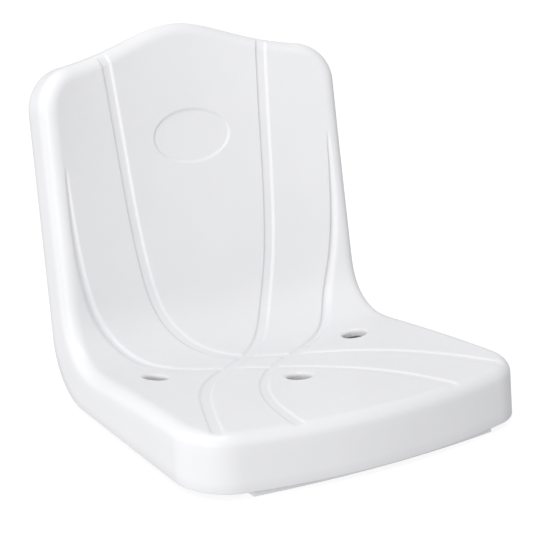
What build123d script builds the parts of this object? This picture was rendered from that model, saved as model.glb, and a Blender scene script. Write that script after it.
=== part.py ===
from build123d import *
import math
import os

# Moulded bucket seat for a terrace or bench row: a one-piece front shell with a deep
# skirt, closed underneath and behind by a rear shell, with bolt bushes held between them.
# Millimetres. X to the right seen from the front, front towards -Y, Z up.

# Sizes of the form
seat_width = 430.0
back_width = 406.0
side_draft = 0.45
front_bow = 32.0
front_corner_radius = 60.0
front_height = 61.0
pan_depth = 342.0
pan_slope = 6.5
bend_radius = 78.0
bend_ease = 0.3
back_recline = 12.6
back_rise = 393.0
hump_drop = 27.0
hump_spread = 95.0
shoulder_slope = 0.11
crown_ease = 40.0
top_corner_radius = 50.0
rim_radius = 14.0
shell_wall = 4.0

# Sag of the seat surface across the width, taken at the sides
pan_sag = 22.5
bend_sag = 29.0
back_sag = 43.0

# Free edge of the skirt seen from the side
skirt_depth_low = 25.0
skirt_depth_top = 12.5
skirt_corner_radius = 76.0
low_station = 60.0

# Surface marks: groove edges as (station, share of the half width), where a station runs
# 0 to 1 along the pan, 1 to 2 round the bend and 2 to 3 up the back
groove_depth = 1.6
inner_groove = (
    (3.1, 0.485), (2.6, 0.437), (2.1, 0.384), (1.75, 0.312), (1.42, 0.165),
    (1.1, -0.15), (0.8, -0.49), (0.4, -0.76), (-0.1, -1.0),
)
outer_groove = (
    (2.55, 0.832), (2.2, 0.812), (1.9, 0.756), (1.6, 0.675), (1.33, 0.555),
    (1.13, 0.335), (0.93, 0.03), (0.7, -0.22), (0.4, -0.40), (-0.08, -0.52),
)
groove_arcs = 8
inner_groove_width_top = 12.0
inner_groove_width_front = 12.0
outer_groove_width_top = 1.5
outer_groove_width_front = 13.0
oval_width = 100.0
oval_height = 59.5
oval_rise = 258.5
oval_step = 1.6
plate_thickness = 0.8

# Fixing holes in the pan
hole_diameter = 28.0
side_hole_spacing = 273.0
side_hole_setback = 250.0
middle_hole_setback = 166.0

# Rear shell
rear_wall = 3.2
rear_recess = 1.5
foot_drop = 8.0
foot_length = 310.0
foot_width = 14.0
foot_setback = 6.0
foot_bow = 9.5
heel_length = 240.0
heel_setback = 280.0
bolt_pad_diameter = 46.0
bolt_hole_diameter = 9.0

# Bolt bushes
bush_outer_diameter = 40.0
bush_inner_diameter = 32.0
bush_floor = 6.0

# Screws that join the shells
screw_diameter = 4.0
screw_head_diameter = 8.0
screw_head_height = 2.4
screw_length = 16.0
screw_tip = 3.0
screw_drive_width = 2.5
screw_drive_depth = 1.4
head_sink = 0.6
post_diameter = 11.0
pad_diameter = 15.0
pad_height = 2.5
base_screw_spacing = 330.0
base_screw_setbacks = (80.0, 180.0)
back_screw_spacing = 310.0
back_screw_rises = (70.0, 270.0)

# Clearances
seat_gap = 0.3
shell_gap = 0.5
hole_gap = 0.3

# Extent of the tool bodies used for trimming
reach = 900.0
surface_tolerance = 0.05
grid_step = 16.0
overhang = 130.0

half_front = seat_width / 2
half_back = back_width / 2
slope = math.radians(pan_slope)
recline = math.radians(back_recline)
turn = math.pi / 2 - recline + slope
bend_length = turn * bend_radius / (1 - bend_ease)


def bend_heading(u):
    """Heading of the profile at fraction u of the bend, with eased ends."""
    if u < bend_ease:
        part = u * u / (2 * bend_ease)
    elif u < 1 - bend_ease:
        part = u - bend_ease / 2
    else:
        part = 1 - bend_ease - (1 - u) ** 2 / (2 * bend_ease)
    return turn * part / (1 - bend_ease) - slope


def bend_travel(u, steps=60):
    """Run and rise from the start of the bend to fraction u of it."""
    length = u * bend_length / steps
    run = 0.0
    rise = 0.0
    for i in range(steps):
        heading = bend_heading(u * (i + 0.5) / steps)
        run += length * math.cos(heading)
        rise += length * math.sin(heading)
    return run, rise


bend_run, bend_rise = bend_travel(1.0)
tangent_length = math.hypot(bend_run, bend_rise) / (2 * math.cos(turn / 2))
bend_start = pan_depth / math.cos(slope) - tangent_length
bend_end = bend_start + bend_length
top_station = bend_end + back_rise - tangent_length
meet = Vector(0, pan_depth, front_height - pan_depth * math.tan(slope))
up_back = Vector(0, math.sin(recline), math.cos(recline))
back_normal = Vector(0, -math.cos(recline), math.sin(recline))


def profile(s):
    """Point of the centre profile at distance s from the front edge, and its heading."""
    if s <= bend_start:
        return s * math.cos(slope), front_height - s * math.sin(slope), -slope
    if s >= bend_end:
        along = meet + up_back * (s - bend_end + tangent_length)
        return along.Y, along.Z, math.pi / 2 - recline
    u = (s - bend_start) / bend_length
    run, rise = bend_travel(u)
    y = bend_start * math.cos(slope) + run
    z = front_height - bend_start * math.sin(slope) + rise
    return y, z, bend_heading(u)


def sag(s):
    """How far the sides stand proud of the centre at distance s: one cubic through four values."""
    values = ((0.0, 0.0), (bend_start, pan_sag), (bend_end, bend_sag), (top_station, back_sag))
    total = 0.0
    for a, value in values:
        term = value
        for b, other in values:
            if b != a:
                term *= (s - b) / (a - b)
        total += term
    return total


def surface_point(x, s, depth):
    """Point of the seat surface at (x, s), sunk by depth."""
    y, z, heading = profile(s)
    lift = sag(s) * (x / half_front) ** 2 - depth
    return Vector(x, y - math.sin(heading) * lift, z + math.cos(heading) * lift)


def below_surface(depth):
    """Solid that fills the space under and behind the seat surface sunk by depth."""
    first = -overhang
    rows = math.ceil((top_station + 2 * overhang) / grid_step)
    columns = math.ceil((seat_width + 60) / (2 * grid_step))
    grid = []
    for i in range(rows + 1):
        s = first + (top_station + 2 * overhang) * i / rows
        row = []
        for j in range(-columns, columns + 1):
            x = (half_front + 30) * j / columns
            row.append(surface_point(x, s, depth))
        grid.append(row)
    face = Face.make_surface_from_array_of_points(grid, tol=surface_tolerance)
    return Solid.extrude(face, Vector(0, 1, -1) * 220)


pan_plane = Plane(origin=(0, 0, front_height), x_dir=(1, 0, 0), z_dir=(0, math.sin(slope), math.cos(slope)))


def plan_prism(inset):
    """Outline seen square to the pan: bowed front, round corners, sides tapering to the back.

    The walls lean inwards by the draft angle, so the outline is drawn larger below the pan.
    """
    sunk = reach / 4
    draft = math.radians(side_draft)
    spread = inset - sunk * math.tan(draft)
    taper = (half_front - half_back) / (pan_depth - front_bow)
    side_inset = spread * math.sqrt(1 + taper * taper)
    rear = pan_depth + reach / 2
    corner = half_front - side_inset
    rear_half = half_back - side_inset - taper * (rear - pan_depth)
    front = ThreePointArc((-corner, front_bow + spread), (0, spread), (corner, front_bow + spread))
    right = Line((corner, front_bow + spread), (rear_half, rear))
    back = Line((rear_half, rear), (-rear_half, rear))
    left = Line((-rear_half, rear), (-corner, front_bow + spread))
    outline = make_face([front, right, back, left])
    corners = outline.vertices().sort_by(Axis.Y)[:2]
    outline = fillet(corners, front_corner_radius - spread)
    return extrude(pan_plane * Pos(0, 0, -sunk) * outline, reach, taper=side_draft)


def top_line(x):
    """Height of the back's top outline along the back at x: a central hump on falling shoulders."""
    fall = hump_drop * (1 - math.exp(-((x / hump_spread) ** 2)))
    shoulder = shoulder_slope * (math.hypot(x, crown_ease) - crown_ease)
    return back_rise - fall - shoulder


back_plane = Plane(origin=meet, x_dir=(1, 0, 0), z_dir=back_normal)


def top_prism(inset):
    """Everything below the top outline of the back, cut square to the back."""
    points = []
    for i in range(-12, 13):
        x = 300 * i / 12
        points.append((x, top_line(x) - inset))
    crest = Spline(points)
    right = Line(points[-1], (300, -reach))
    foot = Line((300, -reach), (-300, -reach))
    left = Line((-300, -reach), points[0])
    outline = back_plane * make_face([crest, right, foot, left])
    return extrude(outline, reach, both=True)


def edge_prism(offset):
    """Space above and in front of the skirt's free edge, moved inwards by offset."""
    low = meet + up_back * low_station - back_normal * skirt_depth_low
    top = meet + up_back * back_rise - back_normal * skirt_depth_top
    lean = math.atan2(top.Y - low.Y, top.Z - low.Z)
    corner_y = low.Y - low.Z * math.tan(lean) - offset / math.cos(lean) + offset * math.tan(lean)
    high = reach / 2
    corner = (corner_y, offset)
    tip = (corner_y + (high - offset) * math.tan(lean), high)
    base = Polyline((-reach, high), (-reach, offset), corner, tip, close=True)
    outline = make_face(base)
    corner_vertex = outline.vertices().sort_by_distance((corner_y, offset, 0))[0]
    outline = fillet(corner_vertex, skirt_corner_radius - offset)
    side = Plane(origin=(0, 0, 0), x_dir=(0, 1, 0), z_dir=(1, 0, 0)) * outline
    return extrude(side, reach / 2, both=True)


def seat_form(inset):
    """Outer form of the seat moved inwards by inset, running past the skirt's free edge."""
    form = below_surface(inset) & plan_prism(inset) & top_prism(inset)
    sides = form.edges().filter_by(lambda e: abs(e.center().X) > 0.8 * half_back)
    form = fillet(sides.sort_by(Axis.Z)[-2:], top_corner_radius - inset)
    surface = max(form.faces(), key=lambda f: f.normal_at().dot(Vector(0, -1, 1)))
    return fillet(surface.edges(), rim_radius - inset)


def station(k):
    """Distance along the profile of a station number."""
    if k <= 1:
        return k * bend_start
    if k <= 2:
        return bend_start + (k - 1) * bend_length
    return bend_end + (k - 2) * (top_station - bend_end)


mark_plane = Plane(origin=(0, 0, 0), x_dir=(1, 0, 0), z_dir=(0, -1, 1))


def ribbon(path, width_top, width_front, side):
    """Footprint of one groove in arcs, drawn square to the view that sees pan and back alike."""
    guide = Spline([(share * half_front, station(k)) for k, share in path])
    last = 2 * groove_arcs
    rows = ([], [])
    for i in range(last + 1):
        middle = guide.position_at(i / last)
        heading = guide.tangent_at(i / last)
        width = width_top + (width_front - width_top) * i / last
        for row, shift in ((rows[0], 0.0), (rows[1], width)):
            place = surface_point(middle.X - shift * heading.Y, middle.Y + shift * heading.X, 0)
            point = mark_plane.to_local_coords(place)
            row.append((side * point.X, point.Y))
    edges = [Line(rows[0][0], rows[1][0]), Line(rows[0][-1], rows[1][-1])]
    for row in rows:
        for i in range(0, last, 2):
            edges.append(ThreePointArc(row[i], row[i + 1], row[i + 2]))
    return make_face(edges)


def grooves():
    """Cutter for the crossing grooves: one footprint down to one floor."""
    footprint = Sketch()
    for side in (1, -1):
        footprint += ribbon(inner_groove, inner_groove_width_top, inner_groove_width_front, side)
        footprint += ribbon(outer_groove, outer_groove_width_top, outer_groove_width_front, side)
    prism = extrude(mark_plane * footprint, 0.8 * reach, both=True)
    return prism - below_surface(groove_depth)


def oval_prism(margin):
    """Prism of the oval on the back, grown by margin."""
    oval = back_plane * Pos(0, oval_rise) * Ellipse(oval_width / 2 + margin, oval_height / 2 + margin)
    return extrude(oval, reach / 4, both=True)


hole_places = (
    (-side_hole_spacing / 2, side_hole_setback),
    (side_hole_spacing / 2, side_hole_setback),
    (0.0, middle_hole_setback),
)
floor_top = rear_recess + rear_wall


def upright(radius, low, high, place):
    """Upright cylinder between two heights."""
    return Pos(place[0], place[1], (low + high) / 2) * Cylinder(radius, high - low)


def foot_rail():
    """Bowed rail under the front edge, from the support up to the rear shell's floor."""
    end = foot_length / 2
    front_end = foot_setback + foot_bow
    rear_end = front_end + foot_width
    front = ThreePointArc((-end, front_end), (0, foot_setback), (end, front_end))
    right = Line((end, front_end), (end, rear_end))
    rear_side = ThreePointArc((end, rear_end), (0, foot_setback + foot_width), (-end, rear_end))
    left = Line((-end, rear_end), (-end, front_end))
    rail = extrude(Pos(0, 0, -foot_drop) * make_face([front, right, rear_side, left]), foot_drop + floor_top)
    return rail & plan_prism(shell_wall + shell_gap)


# Planes of the screws: origin on the rear shell's outer face, Z pointing out of the shell
rear_low = meet + up_back * low_station - back_normal * skirt_depth_low
rear_top = meet + up_back * back_rise - back_normal * skirt_depth_top
lean = math.atan2(rear_top.Y - rear_low.Y, rear_top.Z - rear_low.Z)
rear_out = Vector(0, math.cos(lean), -math.sin(lean))
base_plane = Plane(origin=(0, 0, rear_recess), x_dir=(1, 0, 0), z_dir=(0, 0, -1))
rear_plane = Plane(origin=rear_low - rear_out * rear_recess, x_dir=(-1, 0, 0), z_dir=rear_out)
base_places = []
for setback in base_screw_setbacks:
    base_places.append(base_plane * Pos(-base_screw_spacing / 2, -setback))
    base_places.append(base_plane * Pos(base_screw_spacing / 2, -setback))
back_places = []
for rise in back_screw_rises:
    back_places.append(rear_plane * Pos(-back_screw_spacing / 2, rise))
    back_places.append(rear_plane * Pos(back_screw_spacing / 2, rise))
head_seat = head_sink + screw_head_height
pad_end = rear_wall + pad_height


def along(radius, start, end):
    """Cylinder on the local Z axis between two depths inside the shell."""
    return Pos(0, 0, -(start + end) / 2) * Cylinder(radius, end - start)


def screw():
    """Self-tapping screw with its head sunk below the rear shell's face."""
    head = along(screw_head_diameter / 2, head_sink, head_seat)
    shank = along(screw_diameter / 2, head_seat, head_seat + screw_length - screw_tip)
    tip_middle = head_seat + screw_length - screw_tip / 2
    tip = Pos(0, 0, -tip_middle) * Cone(screw_diameter / 8, screw_diameter / 2, screw_tip)
    body = head + shank + tip
    head_rim = body.edges().filter_by(GeomType.CIRCLE).sort_by(Axis.Z)[-1]
    body = fillet(head_rim, screw_head_height / 3)
    drive = Pos(0, 0, -head_sink - screw_drive_depth / 2)
    for angle in (0, 90):
        body -= drive * Rot(0, 0, angle) * Box(2 * screw_drive_width, screw_drive_width / 3, screw_drive_depth)
    return body


# Seat shell
recess = oval_step + plate_thickness + seat_gap
form = seat_form(0) & edge_prism(0)
form -= grooves()
form -= oval_prism(0) - below_surface(recess)
shell = form - seat_form(shell_wall)
posts = Part()
for place in base_places + back_places:
    posts += place * along(post_diameter / 2, pad_end, reach / 4)
shell += posts & below_surface(shell_wall / 2)
for place in base_places + back_places:
    shell -= place * along(screw_diameter / 2 + hole_gap, 0, head_seat + screw_length + 1)
for place in hole_places:
    shell -= upright(hole_diameter / 2, floor_top, reach / 4, place)

# Number plate inlay
plate = (oval_prism(-seat_gap) & below_surface(oval_step)) - below_surface(oval_step + plate_thickness)

# Rear shell
band = edge_prism(rear_recess) - edge_prism(floor_top)
rear = seat_form(shell_wall + shell_gap) & band
rear += foot_rail()
foot_height = foot_drop + floor_top
heel_middle = heel_setback + foot_width / 2
rear += Pos(0, heel_middle, floor_top - foot_height / 2) * Box(heel_length, foot_width, foot_height)
for place in hole_places:
    rear += upright(bolt_pad_diameter / 2, -foot_drop, floor_top, place)
for place in base_places + back_places:
    rear += place * along(pad_diameter / 2, rear_wall / 2, pad_end)
for place in base_places + back_places:
    rear -= place * along(screw_head_diameter / 2 + hole_gap, -1, head_seat)
    rear -= place * along(screw_diameter / 2 + hole_gap, 0, pad_end + 1)
for place in hole_places:
    rear -= upright(bolt_hole_diameter / 2, -reach / 4, reach / 4, place)

# Bolt bushes
bushes = []
for place in hole_places:
    cup = upright(bush_outer_diameter / 2, floor_top, reach / 4, place)
    cup -= upright(bush_inner_diameter / 2, floor_top + bush_floor, reach / 2, place)
    cup -= upright(bolt_hole_diameter / 2, -reach / 4, reach / 4, place)
    bushes.append(cup & below_surface(shell_wall + seat_gap))

# Screws
base_screws = Compound([place * screw() for place in base_places])
back_screws = Compound([place * screw() for place in back_places])

# Hand over in the shared frame: middle of the footprint, standing on the rails and bolt pads
extent = shell.bounding_box()
home = Pos(0, -(extent.min.Y + extent.max.Y) / 2, foot_drop)
nodes = {
    "seat_shell": shell,
    "rear_shell": rear,
    "number_plate": plate,
    "bolt_bush_left": bushes[0],
    "bolt_bush_right": bushes[1],
    "bolt_bush_front": bushes[2],
    "base_screws": base_screws,
    "back_screws": back_screws,
}
os.makedirs("parts", exist_ok=True)
for name, node in nodes.items():
    export_step(home * node, f"parts/{name}.step")
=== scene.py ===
import math

import bpy
import numpy as np
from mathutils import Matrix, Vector


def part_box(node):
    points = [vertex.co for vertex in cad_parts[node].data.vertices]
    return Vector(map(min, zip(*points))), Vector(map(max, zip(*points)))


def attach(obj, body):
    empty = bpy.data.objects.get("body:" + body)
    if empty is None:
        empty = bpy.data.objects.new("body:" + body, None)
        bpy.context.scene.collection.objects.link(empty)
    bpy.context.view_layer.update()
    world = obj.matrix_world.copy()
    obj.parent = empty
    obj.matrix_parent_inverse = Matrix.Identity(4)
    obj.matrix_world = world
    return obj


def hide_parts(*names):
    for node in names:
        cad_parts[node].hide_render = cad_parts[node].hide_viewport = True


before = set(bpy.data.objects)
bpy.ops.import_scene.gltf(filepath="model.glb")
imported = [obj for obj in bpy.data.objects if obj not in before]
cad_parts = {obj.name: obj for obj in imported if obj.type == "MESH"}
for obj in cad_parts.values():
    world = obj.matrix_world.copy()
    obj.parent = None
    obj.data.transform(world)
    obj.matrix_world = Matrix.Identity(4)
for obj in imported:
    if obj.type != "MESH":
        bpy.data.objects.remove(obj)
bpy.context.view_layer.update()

# Sizes of the form in millimetres, as the solids have them
seat_width = 430.0
back_width = 406.0
side_draft = math.radians(0.45)
front_bow = 32.0
front_corner_radius = 60.0
front_height = 61.0
pan_depth = 342.0
slope = math.radians(6.5)
bend_radius = 78.0
bend_ease = 0.3
recline = math.radians(12.6)
back_rise = 393.0
hump_drop = 27.0
hump_spread = 95.0
shoulder_slope = 0.11
crown_ease = 40.0
top_corner_radius = 50.0
rim_radius = 14.0
shell_wall = 4.0
pan_sag = 22.5
bend_sag = 29.0
back_sag = 43.0
skirt_depth_low = 25.0
skirt_depth_top = 12.5
skirt_corner_radius = 76.0
low_station = 60.0
floor_top = 4.7

# Marks on the surface, softer and deeper than in the solids
# Groove edges are given as (station, share of the half width)
groove_depth = 2.6
inner_groove = (
    (3.1, 0.485), (2.6, 0.437), (2.1, 0.384), (1.75, 0.312), (1.42, 0.165),
    (1.1, -0.15), (0.8, -0.49), (0.4, -0.76), (-0.1, -1.0),
)
outer_groove = (
    (2.55, 0.832), (2.2, 0.812), (1.9, 0.756), (1.6, 0.675), (1.33, 0.555),
    (1.13, 0.335), (0.93, 0.03), (0.7, -0.22), (0.4, -0.40), (-0.08, -0.52),
)
inner_groove_widths = (12.0, 12.0)
outer_groove_widths = (1.5, 13.0)
groove_pan_share = 0.65
groove_slope = 1.6
bolster_slope = 7.0
bolster_depth = 0.5
bolster_end = 0.62
bolster_ease = 0.2
groove_start = 14.0
groove_start_run = 24.0
groove_end_from = math.radians(28.0)
groove_end_over = math.radians(30.0)
oval_width = 100.0
oval_height = 59.5
oval_rise = 258.5
oval_step = 1.6
oval_slope = 2.8
oval_floor = 2.7
plate_bed = 0.03
plate_rest = 3.0
hole_diameter = 28.0
hole_edge_radius = 4.0
hole_wall_depth = 9.0
side_hole_spacing = 273.0
side_hole_setback = 250.0
middle_hole_setback = 166.0

# Fineness of the visible mesh
cells_across = 240
cells_along = 316
gather_reach = 3.2
gather_share = 2.2
rim_rows = 7
wall_rows = 4
edge_round = 0.8
edge_rows = 2
inner_return = 10.0
return_rows = 2
mouth_rows = 4
gather_band = 0.25
gather_fall = 0.7
oval_gather_fall = 0.5
oval_gather_edge = 0.4
guide_points = 260
block_size = 8000
row_spread = 3

# Search for the rim's border and for the free edge, as far as either can lie
border_points = 4000
border_middle = 360.0
border_far_x = 255.0
border_far_s = 440.0
path_limit = 260.0
rim_share_of_path = 0.9

# Light: strengths of the surroundings on each side, a soft key from above and a low fill from the left
light_left = 0.98
light_right = 0.39
light_front = 0.62
light_behind = 0.44
light_above = 0.43
light_below = 0.02
side_blend_from = 0.1
side_blend_to = 0.9
key_place = (-0.6, -0.3, 2.2)
key_size = 0.9
key_power = 15.2
light_aim = (0.0, 0.05, 0.15)
fill_place = (-1.9, -1.15, 0.5)
fill_size = 0.8
fill_power = 8.2
floor_glow = 0.8
floor_reach = 100.0

# Camera that took the photograph, from the fit to its outline and marks
camera_azimuth = math.radians(-32.77)
camera_elevation = math.radians(16.98)
camera_distance = 1842.42
camera_aim = np.array([0.0, 233.0, 152.84])
focal_pixels = 1623.95
picture_width = 533.0
sensor_width = 36.0

# Tones of the finishes
shell_light = (0.755, 0.757, 0.772)
shell_dark = (0.735, 0.737, 0.753)
plate_dark = (0.740, 0.742, 0.757)
bush_light = (0.42, 0.42, 0.43)
bush_dark = (0.38, 0.38, 0.39)
zinc_light = (0.62, 0.63, 0.66)
zinc_dark = (0.48, 0.48, 0.50)
floor_light = (0.31, 0.31, 0.31)
floor_dark = (0.30, 0.30, 0.30)

# Textures: waves per metre, and heights of the bumps in metres
cloud_scale = 9.0
rub_scale = 22.0
grain_scale = 2600.0
grain_height = 0.00006
mottle_scale = 700.0
turning_scale = 5200.0
turning_height = 0.00005
floor_cloud_scale = 1.5
plastic_ior = 1.49

half_front = seat_width / 2
half_back = back_width / 2
turn = math.pi / 2 - recline + slope
bend_length = turn * bend_radius / (1 - bend_ease)
pan_along = np.array([0.0, math.cos(slope), -math.sin(slope)])
pan_normal = np.array([0.0, math.sin(slope), math.cos(slope)])
up_back = np.array([0.0, math.sin(recline), math.cos(recline)])
back_normal = np.array([0.0, -math.cos(recline), math.sin(recline)])
front_point = np.array([0.0, 0.0, front_height])
meet = np.array([0.0, pan_depth, front_height - pan_depth * math.tan(slope)])


def smooth(t):
    """Soft step from 0 to 1."""
    t = np.clip(t, 0.0, 1.0)
    return t * t * (3 - 2 * t)


def unit(v):
    """Vectors scaled to length one."""
    return v / np.linalg.norm(v, axis=-1, keepdims=True)


def bend_heading(u):
    """Heading of the profile at fraction u of the bend, with eased ends."""
    early = u * u / (2 * bend_ease)
    middle = u - bend_ease / 2
    late = 1 - bend_ease - (1 - u) ** 2 / (2 * bend_ease)
    part = np.where(u < bend_ease, early, np.where(u < 1 - bend_ease, middle, late))
    return turn * part / (1 - bend_ease) - slope


bend_steps = bend_heading((np.arange(600) + 0.5) / 600)
bend_chord = bend_length * math.hypot(np.cos(bend_steps).mean(), np.sin(bend_steps).mean())
tangent_length = bend_chord / (2 * math.cos(turn / 2))
bend_start = pan_depth / math.cos(slope) - tangent_length
bend_end = bend_start + bend_length
top_station = bend_end + back_rise - tangent_length


def heading(s):
    """Heading of the centre profile at distance s from the front edge."""
    return bend_heading(np.clip((s - bend_start) / bend_length, 0.0, 1.0))


# Centre profile as a fine line, summed up from its heading
line_s = np.linspace(-150.0, top_station + 150.0, 6001)
line_step = line_s[1] - line_s[0]
line_heading = heading((line_s[1:] + line_s[:-1]) / 2)
line_y = np.concatenate([[0.0], np.cumsum(np.cos(line_heading)) * line_step])
line_z = np.concatenate([[0.0], np.cumsum(np.sin(line_heading)) * line_step])
line_y -= np.interp(0.0, line_s, line_y)
line_z += front_height - np.interp(0.0, line_s, line_z)


def sag(s):
    """How far the sides stand proud of the centre: one cubic through four values."""
    values = ((0.0, 0.0), (bend_start, pan_sag), (bend_end, bend_sag), (top_station, back_sag))
    total = 0.0
    for a, value in values:
        term = value
        for b, _ in values:
            if b != a:
                term = term * (s - b) / (a - b)
        total = total + term
    return total


def surface(x, s):
    """Points of the seat surface at x and profile distance s."""
    turned = heading(s)
    lift = sag(s) * (x / half_front) ** 2
    y = np.interp(s, line_s, line_y) - np.sin(turned) * lift
    z = np.interp(s, line_s, line_z) + np.cos(turned) * lift
    return np.stack([x, y, z], -1)


def surface_normal(x, s, step=0.8):
    """Outward normals of the seat surface."""
    across = surface(x + step, s) - surface(x - step, s)
    along = surface(x, s + step) - surface(x, s - step)
    return unit(np.cross(across, along))


def rounded(first, second, cosine, radius):
    """Signed distance to two walls that meet in a rounded edge."""
    a = first + radius
    b = second + radius
    span = np.sqrt(np.maximum(a * a + b * b - 2 * a * b * cosine, 0.0) / (1 - cosine ** 2))
    in_round = (a > b * cosine) & (b > a * cosine)
    return np.where(in_round, span - radius, np.maximum(first, second))


taper = (half_front - half_back) / (pan_depth - front_bow)
side_norm = math.hypot(1.0, taper)
bow_radius = (half_front ** 2 + front_bow ** 2) / (2 * front_bow)
corner_reach = half_front + taper * (front_bow - bow_radius) - front_corner_radius * side_norm
corner_fall = math.sqrt(
    (taper * corner_reach) ** 2
    - side_norm ** 2 * (corner_reach ** 2 - (bow_radius - front_corner_radius) ** 2)
)
corner_down = (taper * corner_reach - corner_fall) / side_norm ** 2
corner_x = corner_reach - taper * corner_down
corner_y = bow_radius + corner_down


def plan_distance(x, y):
    """Signed distance to the outline seen square to the pan."""
    x = np.abs(x)
    side = (x - half_front + taper * (y - front_bow)) / side_norm
    bow = np.hypot(x, y - bow_radius) - bow_radius
    dx = x - corner_x
    dy = y - corner_y
    in_round = (taper * dx - dy > 0) & (-corner_down * dx + corner_x * dy > 0)
    return np.where(in_round, np.hypot(dx, dy) - front_corner_radius, np.maximum(side, bow))


def top_line(x):
    """Height of the back's top outline along the back."""
    fall = hump_drop * (1 - np.exp(-((x / hump_spread) ** 2)))
    return back_rise - fall - shoulder_slope * (np.hypot(x, crown_ease) - crown_ease)


def wall_distance(p):
    """Signed distance to the outer walls: plan outline with draft, and the top of the back."""
    x = p[..., 0]
    local = p - front_point
    plan = plan_distance(x, local @ pan_along) + (local @ pan_normal) * math.tan(side_draft)
    fall = (top_line(x + 0.5) - top_line(x - 0.5))
    stretch = np.sqrt(1 + fall * fall)
    top = ((p - meet) @ up_back - top_line(x)) / stretch
    lean = taper * (up_back @ pan_along) + math.tan(side_draft) * (up_back @ pan_normal)
    cosine = (lean - fall * np.sign(x)) / (stretch * side_norm)
    return rounded(plan, top, cosine, top_corner_radius)


def wall_normal(p, step=0.2):
    """Outward normals of the outer walls."""
    parts = []
    for axis in np.eye(3) * step:
        parts.append(wall_distance(p + axis) - wall_distance(p - axis))
    return unit(np.stack(parts, -1))


rear_low = meet + up_back * low_station - back_normal * skirt_depth_low
rear_top = meet + up_back * back_rise - back_normal * skirt_depth_top
rear_lean = math.atan2(rear_top[1] - rear_low[1], rear_top[2] - rear_low[2])
rear_out = np.array([0.0, math.cos(rear_lean), -math.sin(rear_lean)])


def edge_distance(p):
    """Signed distance past the skirt's free edge."""
    return rounded(-p[..., 2], (p - rear_low) @ rear_out, math.sin(rear_lean), skirt_corner_radius)


def bisect(gap, low, high, rounds=48):
    """Roots of gap between low and high, where gap rises through zero."""
    for _ in range(rounds):
        middle = (low + high) / 2
        inside = gap(middle) < 0
        low = np.where(inside, middle, low)
        high = np.where(inside, high, middle)
    return (low + high) / 2


def rim_border():
    """Closed line on the surface where the rim's rounding starts, as (x, s) points."""
    angle = (np.arange(border_points) + 0.5) * 2 * math.pi / border_points
    dx = np.cos(angle)
    ds = np.sin(angle)
    limit_x = border_far_x / np.maximum(np.abs(dx), 1e-6)
    limit_s = border_far_s / np.maximum(np.abs(ds), 1e-6)

    def gap(t):
        x = t * dx
        s = border_middle + t * ds
        return wall_distance(surface(x, s) - rim_radius * surface_normal(x, s)) + rim_radius

    t = bisect(gap, np.zeros(border_points), np.minimum(limit_x, limit_s))
    return np.stack([t * dx, border_middle + t * ds], -1)


def evenly(points, count):
    """Points spread evenly along a line."""
    steps = np.linalg.norm(np.diff(points, axis=0), axis=1)
    run = np.concatenate([[0.0], np.cumsum(steps)])
    wanted = np.linspace(0.0, run[-1], count + 1)
    return np.stack([np.interp(wanted, run, points[:, k]) for k in range(2)], -1)


def seat_grid():
    """Grid of (x, s) places that fills the border, from the front edge up to the top."""
    border = rim_border()
    corners = []
    for across, along in ((1, -1), (1, 1), (-1, 1), (-1, -1)):
        corners.append(int(np.argmax(border @ np.array([across, along]))))
    sides = []
    for k in range(4):
        start = corners[k]
        end = corners[(k + 1) % 4]
        index = np.arange(start, end + 1 if end > start else end + 1 + len(border)) % len(border)
        sides.append(evenly(border[index], cells_along if k % 2 == 0 else cells_across))
    right, top, left, front = sides[0], sides[1][::-1], sides[2][::-1], sides[3]
    a = np.linspace(0.0, 1.0, cells_across + 1)[None, :, None]
    b = np.linspace(0.0, 1.0, cells_along + 1)[:, None, None]
    grid = (1 - b) * front[None] + b * top[None] + (1 - a) * left[:, None] + a * right[:, None]
    grid -= (1 - a) * (1 - b) * front[0] + a * (1 - b) * front[-1]
    grid -= (1 - a) * b * top[0] + a * b * top[-1]
    return grid[..., 0], grid[..., 1]


def station(k):
    """Distance along the profile of a station number."""
    return np.interp(k, (-1.0, 0.0, 1.0, 2.0, 3.0, 4.0), (
        -bend_start, 0.0, bend_start, bend_end, top_station, 2 * top_station - bend_end))


def guide_line(path, side):
    """Smooth line through the points of one groove edge, its direction and the run along it."""
    points = np.array([(side * share * half_front, station(k)) for k, share in path])
    knots = np.concatenate([[0.0], np.cumsum(np.linalg.norm(np.diff(points, axis=0), axis=1))])
    gaps = np.diff(knots)
    size = len(points)
    system = np.eye(size)
    target = np.zeros((size, 2))
    for i in range(1, size - 1):
        system[i, i - 1] = gaps[i - 1]
        system[i, i] = 2 * (gaps[i - 1] + gaps[i])
        system[i, i + 1] = gaps[i]
        rise = (points[i + 1] - points[i]) / gaps[i] - (points[i] - points[i - 1]) / gaps[i - 1]
        target[i] = 6 * rise
    bending = np.linalg.solve(system, target)
    t = np.linspace(0.0, knots[-1], guide_points)
    i = np.clip(np.searchsorted(knots, t) - 1, 0, size - 2)
    gap = gaps[i][:, None]
    low = (knots[i + 1] - t)[:, None]
    high = (t - knots[i])[:, None]
    line = (bending[i] * low ** 3 + bending[i + 1] * high ** 3) / (6 * gap)
    line += (points[i] / gap - bending[i] * gap / 6) * low
    line += (points[i + 1] / gap - bending[i + 1] * gap / 6) * high
    return line, unit(np.gradient(line, axis=0)), t


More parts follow.
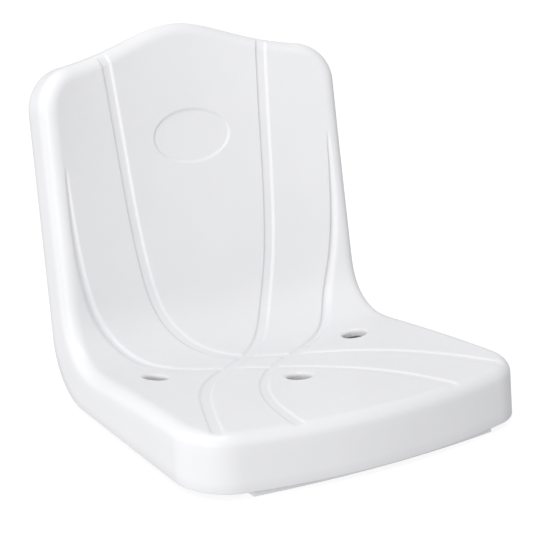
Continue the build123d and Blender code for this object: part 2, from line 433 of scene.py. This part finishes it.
def groove_offsets(x, s, path, widths, side):
    """Distance of each place from a groove's first edge, run along it, its share, and the width there."""
    line, direction, run = guide_line(path, side)
    outward = np.stack([-side * direction[:, 1], side * direction[:, 0]], -1)
    places = np.stack([x.ravel(), s.ravel()], -1)
    offset = np.zeros(len(places))
    travel = np.zeros(len(places))
    for start in range(0, len(places), block_size):
        end = start + block_size
        part = places[start:end]
        away = part[:, None, :] - line[None]
        nearest = np.argmin((away ** 2).sum(-1), axis=1)
        offset[start:end] = (away[np.arange(len(part)), nearest] * outward[nearest]).sum(-1)
        travel[start:end] = run[nearest]
    share = travel / run[-1]
    width = widths[0] + (widths[1] - widths[0]) * share
    return [values.reshape(x.shape) for values in (offset, travel, share, width)]


all_grooves = []
for groove_side in (1, -1):
    all_grooves.append((inner_groove, inner_groove_widths, groove_side, False))
    all_grooves.append((outer_groove, outer_groove_widths, groove_side, True))


def mark_depth(x, s):
    """How deep the grooves lie below the smooth surface, with sloping flanks."""
    deepest = np.zeros(x.shape)
    for path, widths, side, soft in all_grooves:
        offset, travel, share, width = groove_offsets(x, s, path, widths, side)
        far_slope = np.full(x.shape, groove_slope)
        start_share = np.ones(x.shape)
        if soft:
            bolster = smooth(share / bolster_ease) * smooth((bolster_end - share) / bolster_ease)
            far_slope = groove_slope + (bolster_slope - groove_slope) * bolster
            start_share = smooth((travel - groove_start) / groove_start_run) * (1 + bolster_depth * bolster)
        near = smooth((offset + groove_slope) / (2 * groove_slope))
        far = 1 - smooth((offset - width + groove_slope) / (groove_slope + far_slope))
        deepest = np.maximum(deepest, near * far * start_share)
    on_back = smooth((s - bend_start) / bend_length)
    return groove_depth * (groove_pan_share + (1 - groove_pan_share) * on_back) * deepest


def gather_columns(x, s):
    """Moves the places along each row closer together beside the edges of the grooves."""
    weight = np.zeros(x.shape)
    for path, widths, side, _ in all_grooves:
        offset, _, _, width = groove_offsets(x, s, path, widths, side)
        away = np.minimum(np.abs(offset), np.abs(offset - width))
        weight = np.maximum(weight, np.exp(-((away / gather_reach) ** 2)))
    weight = 1 + gather_share * weight
    padded = np.pad(weight, ((row_spread, row_spread), (0, 0)), mode="edge")
    window = 2 * row_spread + 1
    weight = sum(padded[k:k + len(weight)] for k in range(window)) / window
    steps = np.hypot(np.diff(x, axis=1), np.diff(s, axis=1)) * (weight[:, 1:] + weight[:, :-1]) / 2
    run = np.concatenate([np.zeros((len(x), 1)), np.cumsum(steps, axis=1)], axis=1)
    for row in range(len(x)):
        wanted = np.linspace(0.0, run[row, -1], x.shape[1])
        x_row = np.interp(wanted, run[row], x[row])
        s[row] = np.interp(wanted, run[row], s[row])
        x[row] = x_row


def gather(x, s, centre, reach_x, reach_s, fall=gather_fall, edge_share=1.0):
    """Pulls the grid lines round a centre into ellipses; returns shares of the reach and the block."""
    distance = np.hypot(x - centre[0], s - centre[1])
    row, column = np.unravel_index(np.argmin(distance), x.shape)
    step_x = x[row, column + 1] - x[row, column]
    step_s = s[row + 1, column] - s[row, column]
    cells_x = max(round(reach_x / step_x), 2)
    cells_s = max(round(reach_s / step_s), 2)
    u = (np.arange(x.shape[1]) - column)[None, :] / cells_x
    v = (np.arange(x.shape[0]) - row)[:, None] / cells_s
    ring = np.maximum(np.abs(u), np.abs(v))
    beyond = np.abs(ring - 1)
    closer = edge_share + (1 - edge_share) * smooth(beyond / gather_band)
    radius = 1 + (ring - 1) * closer
    scale = radius / np.maximum(np.hypot(u, v), 1e-9)
    weight = smooth((1 + fall - ring) / fall)
    x += weight * (centre[0] + reach_x * u * scale - x)
    s += weight * (centre[1] + reach_s * v * scale - s)
    corners = (row - cells_s, row + cells_s, column - cells_x, column + cells_x)
    return radius, corners


def block_loop(corners):
    """Grid indices round a block, in order, as rows and columns."""
    low, high, left, right = corners
    rows = []
    columns = []
    for column in range(left, right):
        rows.append(low)
        columns.append(column)
    for row in range(low, high):
        rows.append(row)
        columns.append(right)
    for column in range(right, left, -1):
        rows.append(high)
        columns.append(column)
    for row in range(high, low, -1):
        rows.append(row)
        columns.append(left)
    return np.array(rows), np.array(columns)


def turn_between(first, second, share):
    """Directions turned from first towards second by a share of the angle between them."""
    cosine = np.clip((first * second).sum(-1, keepdims=True), -1.0, 1.0)
    angle = np.arccos(cosine)
    return (np.sin((1 - share) * angle) * first + np.sin(share * angle) * second) / np.sin(angle)


def settle_on_circle(x, s, loop, hole):
    """Moves a ring of places so that it lies on an upright circle round a hole's axis."""
    angle = np.arctan2(s[loop] - hole[2], x[loop] - hole[0])
    radius = hole_diameter / 2 + hole_edge_radius
    x[loop] = hole[0] + radius * np.cos(angle)
    wanted = hole[1] + radius * np.sin(angle)
    for _ in range(4):
        found = surface(x[loop], s[loop])[:, 1]
        s[loop] += (wanted - found) / np.cos(heading(s[loop]))


# Shared frame: where the form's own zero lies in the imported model
bush_low, bush_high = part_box("bolt_bush_front")
bush_middle = 1000 * (bush_low.y + bush_high.y) / 2
home = np.array([0.0, bush_middle - middle_hole_setback, 1000 * bush_low.z - floor_top])


def to_frame(points):
    """Millimetres of the form to metres of the shared frame."""
    return (np.asarray(points) + home) / 1000


class MeshParts:
    """Vertices and quads collected for one mesh."""

    def __init__(self):
        self.points = []
        self.quads = []
        self.count = 0

    def add(self, points):
        """Adds points and returns their numbers."""
        points = np.asarray(points).reshape(-1, 3)
        numbers = np.arange(self.count, self.count + len(points))
        self.points.append(points)
        self.count += len(points)
        return numbers

    def band(self, first, second):
        """Quads between two closed loops of equal length."""
        quads = np.stack([first, np.roll(first, -1), np.roll(second, -1), second], -1)
        self.quads.append(quads)

    def object(self, name):
        """The finished mesh as an object in the scene."""
        mesh = bpy.data.meshes.new(name)
        points = to_frame(np.concatenate(self.points))
        quads = np.concatenate(self.quads)
        used = np.unique(quads)
        renumber = np.full(len(points), -1)
        renumber[used] = np.arange(len(used))
        mesh.from_pydata(points[used].tolist(), [], renumber[quads].tolist())
        mesh.shade_smooth()
        made = bpy.data.objects.new(name, mesh)
        bpy.context.scene.collection.objects.link(made)
        return made


def seat_shell_mesh():
    """Front shell: dished surface with its marks, rounded rim, skirt and free edge."""
    parts = MeshParts()
    x, s = seat_grid()
    gather_columns(x, s)
    holes = []
    for hole_x, setback in (
        (-side_hole_spacing / 2, side_hole_setback),
        (side_hole_spacing / 2, side_hole_setback),
        (0.0, middle_hole_setback),
    ):
        lift = sag(setback) * (hole_x / half_front) ** 2
        hole_s = (setback - math.sin(slope) * lift) / math.cos(slope)
        radius = hole_diameter / 2 + hole_edge_radius
        ring, corners = gather(x, s, (hole_x, hole_s), radius, radius / math.cos(slope))
        loop = block_loop(corners)
        settle_on_circle(x, s, loop, (hole_x, setback, hole_s))
        holes.append((hole_x, setback, ring, loop))
    oval_s = bend_end + oval_rise - tangent_length
    oval_reach_x = oval_width / 2 + oval_slope
    oval_reach_s = oval_height / 2 + oval_slope
    gather(x, s, (0.0, oval_s), oval_reach_x, oval_reach_s, oval_gather_fall, oval_gather_edge)
    normal = surface_normal(x, s)
    depth = mark_depth(x, s)
    rim_depth = np.concatenate([depth[0, :-1], depth[:-1, -1], depth[-1, :0:-1], depth[:0:-1, 0]])
    edge = np.hypot(2 * x / oval_width, 2 * (s - oval_s) / oval_height)
    margin = np.hypot(x / oval_reach_x, (s - oval_s) / oval_reach_s)
    share = (1 - margin) / np.maximum(edge - margin, 1e-9)
    inside = (1 - edge) * oval_height / 2
    oval = oval_step * smooth(share) + plate_bed * smooth(share - 0.5)
    oval = np.where(inside > 0, oval_step + plate_bed, oval)
    oval += (oval_floor - oval_step) * smooth((inside - plate_rest) / plate_rest)
    oval = np.where(margin < 1, oval, 0.0)
    depth = np.maximum(depth, oval)
    points = surface(x, s) - normal * depth[..., None]
    numbers = parts.add(points).reshape(x.shape)
    quads = np.stack([numbers[:-1, :-1], numbers[:-1, 1:], numbers[1:, 1:], numbers[1:, :-1]], -1)
    keep = np.ones(quads.shape[:2], bool)
    for _, _, ring, _ in holes:
        inside = np.maximum.reduce([ring[:-1, :-1], ring[:-1, 1:], ring[1:, 1:], ring[1:, :-1]])
        keep &= inside > 1 + 1e-6
    parts.quads.append(quads[keep])
    add_hole_walls(parts, holes, numbers, points, normal)
    border = block_loop((0, cells_along, 0, cells_across))
    add_rim(parts, x[border], s[border], numbers[border], rim_depth)
    return parts.object("seat_shell_skin")


def add_hole_walls(parts, holes, numbers, points, normal):
    """Rounded mouths and upright walls of the fixing holes."""
    for hole_x, setback, _, loop in holes:
        last = numbers[loop]
        away = points[loop] - np.array([hole_x, setback, 0.0])
        away[:, 2] = 0.0
        outward = unit(away)
        middle = points[loop] - hole_edge_radius * normal[loop]
        for k in range(1, mouth_rows + 1):
            direction = turn_between(normal[loop], -outward, k / mouth_rows)
            row = parts.add(middle + hole_edge_radius * direction)
            parts.band(last, row)
            last = row
        wall_top = middle - hole_edge_radius * outward
        drop = np.array([0.0, 0.0, hole_wall_depth - hole_edge_radius])
        for fall in (0.5, 1.0):
            row = parts.add(wall_top - drop * fall)
            parts.band(last, row)
            last = row


def add_rim(parts, x, s, first, groove):
    """Rounded rim, skirt wall, free edge and the start of the inner wall, ring by ring."""
    normal = surface_normal(x, s)
    centre = surface(x, s) - rim_radius * normal
    outward = wall_normal(centre)
    arc = rim_radius * np.arccos(np.clip((normal * outward).sum(-1), -1.0, 1.0))
    turned = heading(s)
    down = np.stack([np.zeros_like(turned), np.sin(turned), -np.cos(turned)], -1)
    down = unit(down - outward * (down * outward).sum(-1, keepdims=True))

    def way_out(t):
        """Direction out of the shell at run t over the rim and down the wall."""
        return turn_between(normal, outward, np.clip(t / arc, 0.0, 1.0)[:, None])

    def on_path(t):
        """Place at run t over the rim and down the wall."""
        straight = np.maximum(t - arc, 0.0)[:, None]
        return centre + rim_radius * way_out(t) + down * straight

    start = np.zeros(len(x))
    end = bisect(lambda t: edge_distance(on_path(t)), start, np.full(len(x), path_limit))
    wall_end = end - edge_round
    rim_end = np.minimum(arc, rim_share_of_path * wall_end)
    runs = [rim_end * k / rim_rows for k in range(1, rim_rows + 1)]
    runs += [rim_end + (wall_end - rim_end) * k / wall_rows for k in range(1, wall_rows + 1)]
    last = first
    for run in runs:
        direction = way_out(run)
        leaning = np.clip((direction * normal).sum(-1), -1.0, 1.0)
        dying = np.maximum(groove - rim_radius * (1 - leaning), 0.0)
        lasting = groove * (1 - smooth((np.arccos(leaning) - groove_end_from) / groove_end_over))
        sunk = np.where(s > bend_end, lasting, dying)
        row = parts.add(on_path(run) - direction * sunk[:, None])
        parts.band(row, last)
        last = row
    side_out = way_out(wall_end)
    edge_way = unit(on_path(end) - on_path(end - 2 * edge_round))
    side_out = unit(side_out - edge_way * (side_out * edge_way).sum(-1, keepdims=True))
    tip = on_path(wall_end)
    turns = ((edge_round, side_out, edge_way, 1), (shell_wall - edge_round, edge_way, -side_out, 0))
    for inset, first_way, second_way, first_step in turns:
        middle = tip - side_out * inset
        for k in range(first_step, edge_rows + 1):
            row = parts.add(middle + edge_round * turn_between(first_way, second_way, k / edge_rows))
            parts.band(row, last)
            last = row
    for k in range(1, return_rows + 1):
        run = wall_end - inner_return * k / return_rows
        row = parts.add(on_path(run) - way_out(run) * shell_wall)
        parts.band(row, last)
        last = row


# Materials


def node_tree(name):
    """New material with a principled shader; returns the material, its nodes, links and shader."""
    material = bpy.data.materials.new(name)
    material.use_nodes = True
    nodes = material.node_tree.nodes
    links = material.node_tree.links
    return material, nodes, links, nodes["Principled BSDF"]


def noise(nodes, links, coordinates, scale, detail=4.0, roughness=0.55):
    """Noise texture in object space."""
    texture = nodes.new("ShaderNodeTexNoise")
    texture.inputs["Scale"].default_value = scale
    texture.inputs["Detail"].default_value = detail
    texture.inputs["Roughness"].default_value = roughness
    links.new(coordinates.outputs["Object"], texture.inputs["Vector"])
    return texture


def spread(nodes, links, source, low, high):
    """Maps a texture's middle range to low and high."""
    ranged = nodes.new("ShaderNodeMapRange")
    ranged.inputs["From Min"].default_value = 0.3
    ranged.inputs["From Max"].default_value = 0.7
    ranged.inputs["To Min"].default_value = low
    ranged.inputs["To Max"].default_value = high
    links.new(source, ranged.inputs["Value"])
    return ranged.outputs["Result"]


def mixed_colour(nodes, links, factor, first, second):
    """Blend of two colours by a factor."""
    blend = nodes.new("ShaderNodeMix")
    blend.data_type = "RGBA"
    blend.inputs["A"].default_value = (*first, 1.0)
    blend.inputs["B"].default_value = (*second, 1.0)
    links.new(factor, blend.inputs["Factor"])
    return blend.outputs["Result"]


def moulded_plastic(name, light, dark, rough_low, rough_high, grain, specular=0.42):
    """Moulded plastic: cloudy tone, fine pressed grain, and patches rubbed smoother by use."""
    material, nodes, links, shader = node_tree(name)
    coordinates = nodes.new("ShaderNodeTexCoord")
    cloud = noise(nodes, links, coordinates, cloud_scale, 3.0)
    tone = spread(nodes, links, cloud.outputs["Fac"], 0.0, 1.0)
    links.new(mixed_colour(nodes, links, tone, light, dark), shader.inputs["Base Color"])
    rub = noise(nodes, links, coordinates, rub_scale, 6.0, 0.7)
    links.new(spread(nodes, links, rub.outputs["Fac"], rough_low, rough_high), shader.inputs["Roughness"])
    fine = noise(nodes, links, coordinates, grain_scale, 2.0)
    bump = nodes.new("ShaderNodeBump")
    bump.inputs["Strength"].default_value = grain
    bump.inputs["Distance"].default_value = grain_height
    links.new(fine.outputs["Fac"], bump.inputs["Height"])
    links.new(bump.outputs["Normal"], shader.inputs["Normal"])
    shader.inputs["Specular IOR Level"].default_value = specular
    shader.inputs["IOR"].default_value = plastic_ior
    return material


def zinc_steel(name):
    """Zinc plated steel with a mottled tone and turned marks."""
    material, nodes, links, shader = node_tree(name)
    coordinates = nodes.new("ShaderNodeTexCoord")
    mottle = noise(nodes, links, coordinates, mottle_scale, 4.0)
    tone = spread(nodes, links, mottle.outputs["Fac"], 0.0, 1.0)
    links.new(mixed_colour(nodes, links, tone, zinc_light, zinc_dark), shader.inputs["Base Color"])
    links.new(spread(nodes, links, mottle.outputs["Fac"], 0.28, 0.5), shader.inputs["Roughness"])
    marks = noise(nodes, links, coordinates, turning_scale, 2.0)
    bump = nodes.new("ShaderNodeBump")
    bump.inputs["Strength"].default_value = 0.25
    bump.inputs["Distance"].default_value = turning_height
    links.new(marks.outputs["Fac"], bump.inputs["Height"])
    links.new(bump.outputs["Normal"], shader.inputs["Normal"])
    shader.inputs["Metallic"].default_value = 1.0
    return material


def dress(piece, material):
    """Gives a piece one material all over."""
    piece.data.materials.clear()
    piece.data.materials.append(material)


white = moulded_plastic(
    "white_shell", shell_light, shell_dark, rough_low=0.30, rough_high=0.42, grain=0.35)
rear_white = moulded_plastic(
    "rear_shell_white", shell_light, shell_dark, rough_low=0.36, rough_high=0.48, grain=0.5)
plate_white = moulded_plastic(
    "plate_white", shell_light, plate_dark, rough_low=0.30, rough_high=0.40, grain=0.25)
bush_grey = moulded_plastic(
    "bush_grey", bush_light, bush_dark, rough_low=0.45, rough_high=0.6, grain=0.5, specular=0.4)
zinc = zinc_steel("zinc_screw")

skin = seat_shell_mesh()
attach(skin, "root")
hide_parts("seat_shell")
dress(skin, white)
finishes = {
    "seat_shell": white,
    "rear_shell": rear_white,
    "number_plate": plate_white,
    "bolt_bush_left": bush_grey,
    "bolt_bush_right": bush_grey,
    "bolt_bush_front": bush_grey,
    "base_screws": zinc,
    "back_screws": zinc,
}
for node_name, finish in finishes.items():
    dress(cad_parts[node_name], finish)

# Floor, light and camera


def floor():
    """Wide pale floor, which stays out of the light and the gloss on the seat."""
    mesh = bpy.data.meshes.new("floor")
    corners = [(x * floor_reach, y * floor_reach, 0.0) for x, y in ((-1, -1), (1, -1), (1, 1), (-1, 1))]
    mesh.from_pydata(corners, [], [(0, 1, 2, 3)])
    made = bpy.data.objects.new("floor", mesh)
    bpy.context.scene.collection.objects.link(made)
    material, nodes, links, shader = node_tree("pale_floor")
    coordinates = nodes.new("ShaderNodeTexCoord")
    cloud = noise(nodes, links, coordinates, floor_cloud_scale, 2.0)
    tone = spread(nodes, links, cloud.outputs["Fac"], 0.0, 1.0)
    links.new(mixed_colour(nodes, links, tone, floor_light, floor_dark), shader.inputs["Base Color"])
    shader.inputs["Roughness"].default_value = 0.9
    shader.inputs["Specular IOR Level"].default_value = 0.1
    shader.inputs["Emission Color"].default_value = (1.0, 1.0, 1.0, 1.0)
    shader.inputs["Emission Strength"].default_value = floor_glow
    made.data.materials.append(material)
    made.visible_diffuse = False
    made.visible_glossy = False


def area_light(name, place, aim, width, power):
    """Square soft light that points at a place."""
    data = bpy.data.lights.new(name, "AREA")
    data.shape = "SQUARE"
    data.size = width
    data.energy = power
    made = bpy.data.objects.new(name, data)
    made.location = place
    made.rotation_mode = "QUATERNION"
    made.rotation_quaternion = (Vector(aim) - Vector(place)).to_track_quat("-Z", "Y")
    bpy.context.scene.collection.objects.link(made)
    return made


def world_light():
    """Soft surroundings with a strength of their own on each side, blended over the directions between."""
    world = bpy.data.worlds.new("surroundings")
    world.use_nodes = True
    nodes = world.node_tree.nodes
    links = world.node_tree.links
    coordinates = nodes.new("ShaderNodeTexCoord")
    split = nodes.new("ShaderNodeSeparateXYZ")
    links.new(coordinates.outputs["Generated"], split.inputs["Vector"])
    total = None
    for axis, sign, strength in (
        ("X", -1, light_left),
        ("X", 1, light_right),
        ("Y", -1, light_front),
        ("Y", 1, light_behind),
        ("Z", 1, light_above),
        ("Z", -1, light_below),
    ):
        step = nodes.new("ShaderNodeMapRange")
        step.interpolation_type = "SMOOTHSTEP"
        step.inputs["From Min"].default_value = sign * side_blend_from
        step.inputs["From Max"].default_value = sign * side_blend_to
        step.inputs["To Max"].default_value = strength
        links.new(split.outputs[axis], step.inputs["Value"])
        if total is None:
            total = step.outputs["Result"]
        else:
            joined = nodes.new("ShaderNodeMath")
            links.new(total, joined.inputs[0])
            links.new(step.outputs["Result"], joined.inputs[1])
            total = joined.outputs["Value"]
    nodes["Background"].inputs["Color"].default_value = (1.0, 1.0, 1.0, 1.0)
    links.new(total, nodes["Background"].inputs["Strength"])
    bpy.context.scene.world = world


def photo_camera():
    """Camera at the photograph's viewing angle."""
    data = bpy.data.cameras.new("camera")
    data.sensor_width = sensor_width
    data.lens = data.sensor_width * focal_pixels / picture_width
    made = bpy.data.objects.new("camera", data)
    back = Vector((
        math.sin(camera_azimuth) * math.cos(camera_elevation),
        -math.cos(camera_azimuth) * math.cos(camera_elevation),
        math.sin(camera_elevation),
    ))
    made.location = Vector(to_frame(camera_aim)) + back * (camera_distance / 1000)
    made.rotation_mode = "QUATERNION"
    made.rotation_quaternion = (-back).to_track_quat("-Z", "Y")
    bpy.context.scene.collection.objects.link(made)
    bpy.context.scene.camera = made


floor()
world_light()
area_light("key", key_place, light_aim, key_size, key_power)
area_light("fill", fill_place, light_aim, fill_size, fill_power)
photo_camera()
bpy.context.scene.view_settings.view_transform = "Standard"
